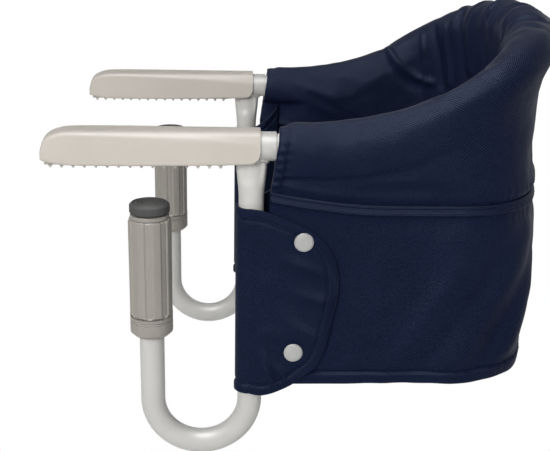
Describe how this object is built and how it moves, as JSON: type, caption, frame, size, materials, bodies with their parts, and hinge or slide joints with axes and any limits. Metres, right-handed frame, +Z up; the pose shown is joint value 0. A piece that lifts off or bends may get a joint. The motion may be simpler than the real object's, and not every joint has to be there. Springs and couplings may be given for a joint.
{
  "type": "hook on table chair",
  "caption": "Child's seat that hangs on a table edge: padded fabric tub on a bent tube loop, toothed arm pads above the top, folding hooks with fluted screw clamps below.",
  "frame": {"origin": "on the table's top face, at its edge, midway between the two arms", "axes": "+X from the table towards the seat back, +Y across the seat to the far arm, +Z up"},
  "size_m": [0.4653, 0.348, 0.4044],
  "materials": {
    "frame_paint": "pale warm grey powder coat, satin",
    "spindle_steel": "plated, satin",
    "pad_plastic": "warm greige, fine moulded texture",
    "grip_plastic": "warm grey, satin",
    "grip_rubber": "grey-brown, matt",
    "foot_rubber": "dark, matt",
    "tub_fabric": "navy woven polyester over padding",
    "trim_fabric": "navy binding and webbing",
    "snap_plastic": "pale grey, satin",
    "buckle_plastic": "black, fine texture",
    "board_plastic": "dark grey sheet"
  },
  "bodies": {
    "seat": {"loop_frame": "frame_paint", "near_end_plug": "grip_plastic", "far_end_plug": "grip_plastic", "bolster_cover": "tub_fabric", "waist_band": "trim_fabric", "seat_skirt": "tub_fabric", "seat_floor": "tub_fabric", "seat_board": "board_plastic", "seat_cushion": "tub_fabric", "near_leg_flap": "tub_fabric", "far_leg_flap": "tub_fabric", "near_upper_snap_cap": "snap_plastic", "near_upper_snap_stud": "snap_plastic", "near_lower_snap_cap": "snap_plastic", "near_lower_snap_stud": "snap_plastic", "far_upper_snap_cap": "snap_plastic", "far_upper_snap_stud": "snap_plastic", "far_lower_snap_cap": "snap_plastic", "far_lower_snap_stud": "snap_plastic", "crotch_strap": "trim_fabric", "near_waist_strap": "trim_fabric", "far_waist_strap": "trim_fabric", "near_buckle_tongue": "buckle_plastic", "far_buckle_tongue": "buckle_plastic", "buckle_body": "buckle_plastic"},
    "near_hook": {"near_pivot_barrel": "frame_paint", "near_pivot_bush": "grip_plastic", "near_hook_tube": "frame_paint", "near_arm_pad": "pad_plastic", "near_table_grip": "grip_rubber", "near_tube_nut": "spindle_steel"},
    "far_hook": {"far_pivot_barrel": "frame_paint", "far_pivot_bush": "grip_plastic", "far_hook_tube": "frame_paint", "far_arm_pad": "pad_plastic", "far_table_grip": "grip_rubber", "far_tube_nut": "spindle_steel"},
    "near_clamp": {"near_foot_carrier": "grip_plastic", "near_clamp_foot": "foot_rubber"},
    "far_clamp": {"far_foot_carrier": "grip_plastic", "far_clamp_foot": "foot_rubber"},
    "near_grip": {"near_twist_grip": "grip_plastic", "near_grip_collar": "grip_plastic", "near_clamp_spindle": "spindle_steel"},
    "far_grip": {"far_twist_grip": "grip_plastic", "far_grip_collar": "grip_plastic", "far_clamp_spindle": "spindle_steel"},
    "buckle_press": {"buckle_button": "buckle_plastic"}
  },
  "joints": [
    {"name": "near_fold", "type": "hinge", "parent": "seat", "child": "near_hook", "pos_m": [0, -0.155, 0.017], "axis": [1, 0, 0], "range_deg": [0, 98], "deforming": ["near_leg_flap"]},
    {"name": "far_fold", "type": "hinge", "parent": "seat", "child": "far_hook", "pos_m": [0, 0.155, 0.017], "axis": [1, 0, 0], "range_deg": [-82, 0], "deforming": ["far_leg_flap"]},
    {"name": "near_clamp_slide", "type": "slide", "parent": "near_hook", "child": "near_clamp", "axis": [0, 0, 1], "range_m": [-0.04, 0.013]},
    {"name": "far_clamp_slide", "type": "slide", "parent": "far_hook", "child": "far_clamp", "axis": [0, 0, 1], "range_m": [-0.04, 0.013]},
    {"name": "near_grip_turn", "type": "hinge", "parent": "near_clamp", "child": "near_grip", "pos_m": [-0.074, -0.155, -0.1], "axis": [0, 0, 1], "range_deg": [-2884, 939]},
    {"name": "far_grip_turn", "type": "hinge", "parent": "far_clamp", "child": "far_grip", "pos_m": [-0.074, 0.155, -0.1], "axis": [0, 0, 1], "range_deg": [-2884, 939]},
    {"name": "button_press", "type": "slide", "parent": "seat", "child": "buckle_press", "axis": [0, 0, -1], "range_m": [0, 0.002], "stiffness_N_per_m": 400, "springref_m": -0.001}
  ],
  "couplings": [
    {"joint": "near_grip_turn", "follows": "near_clamp_slide", "rad_per_m": 1256.6},
    {"joint": "far_grip_turn", "follows": "far_clamp_slide", "rad_per_m": 1256.6}
  ]
}
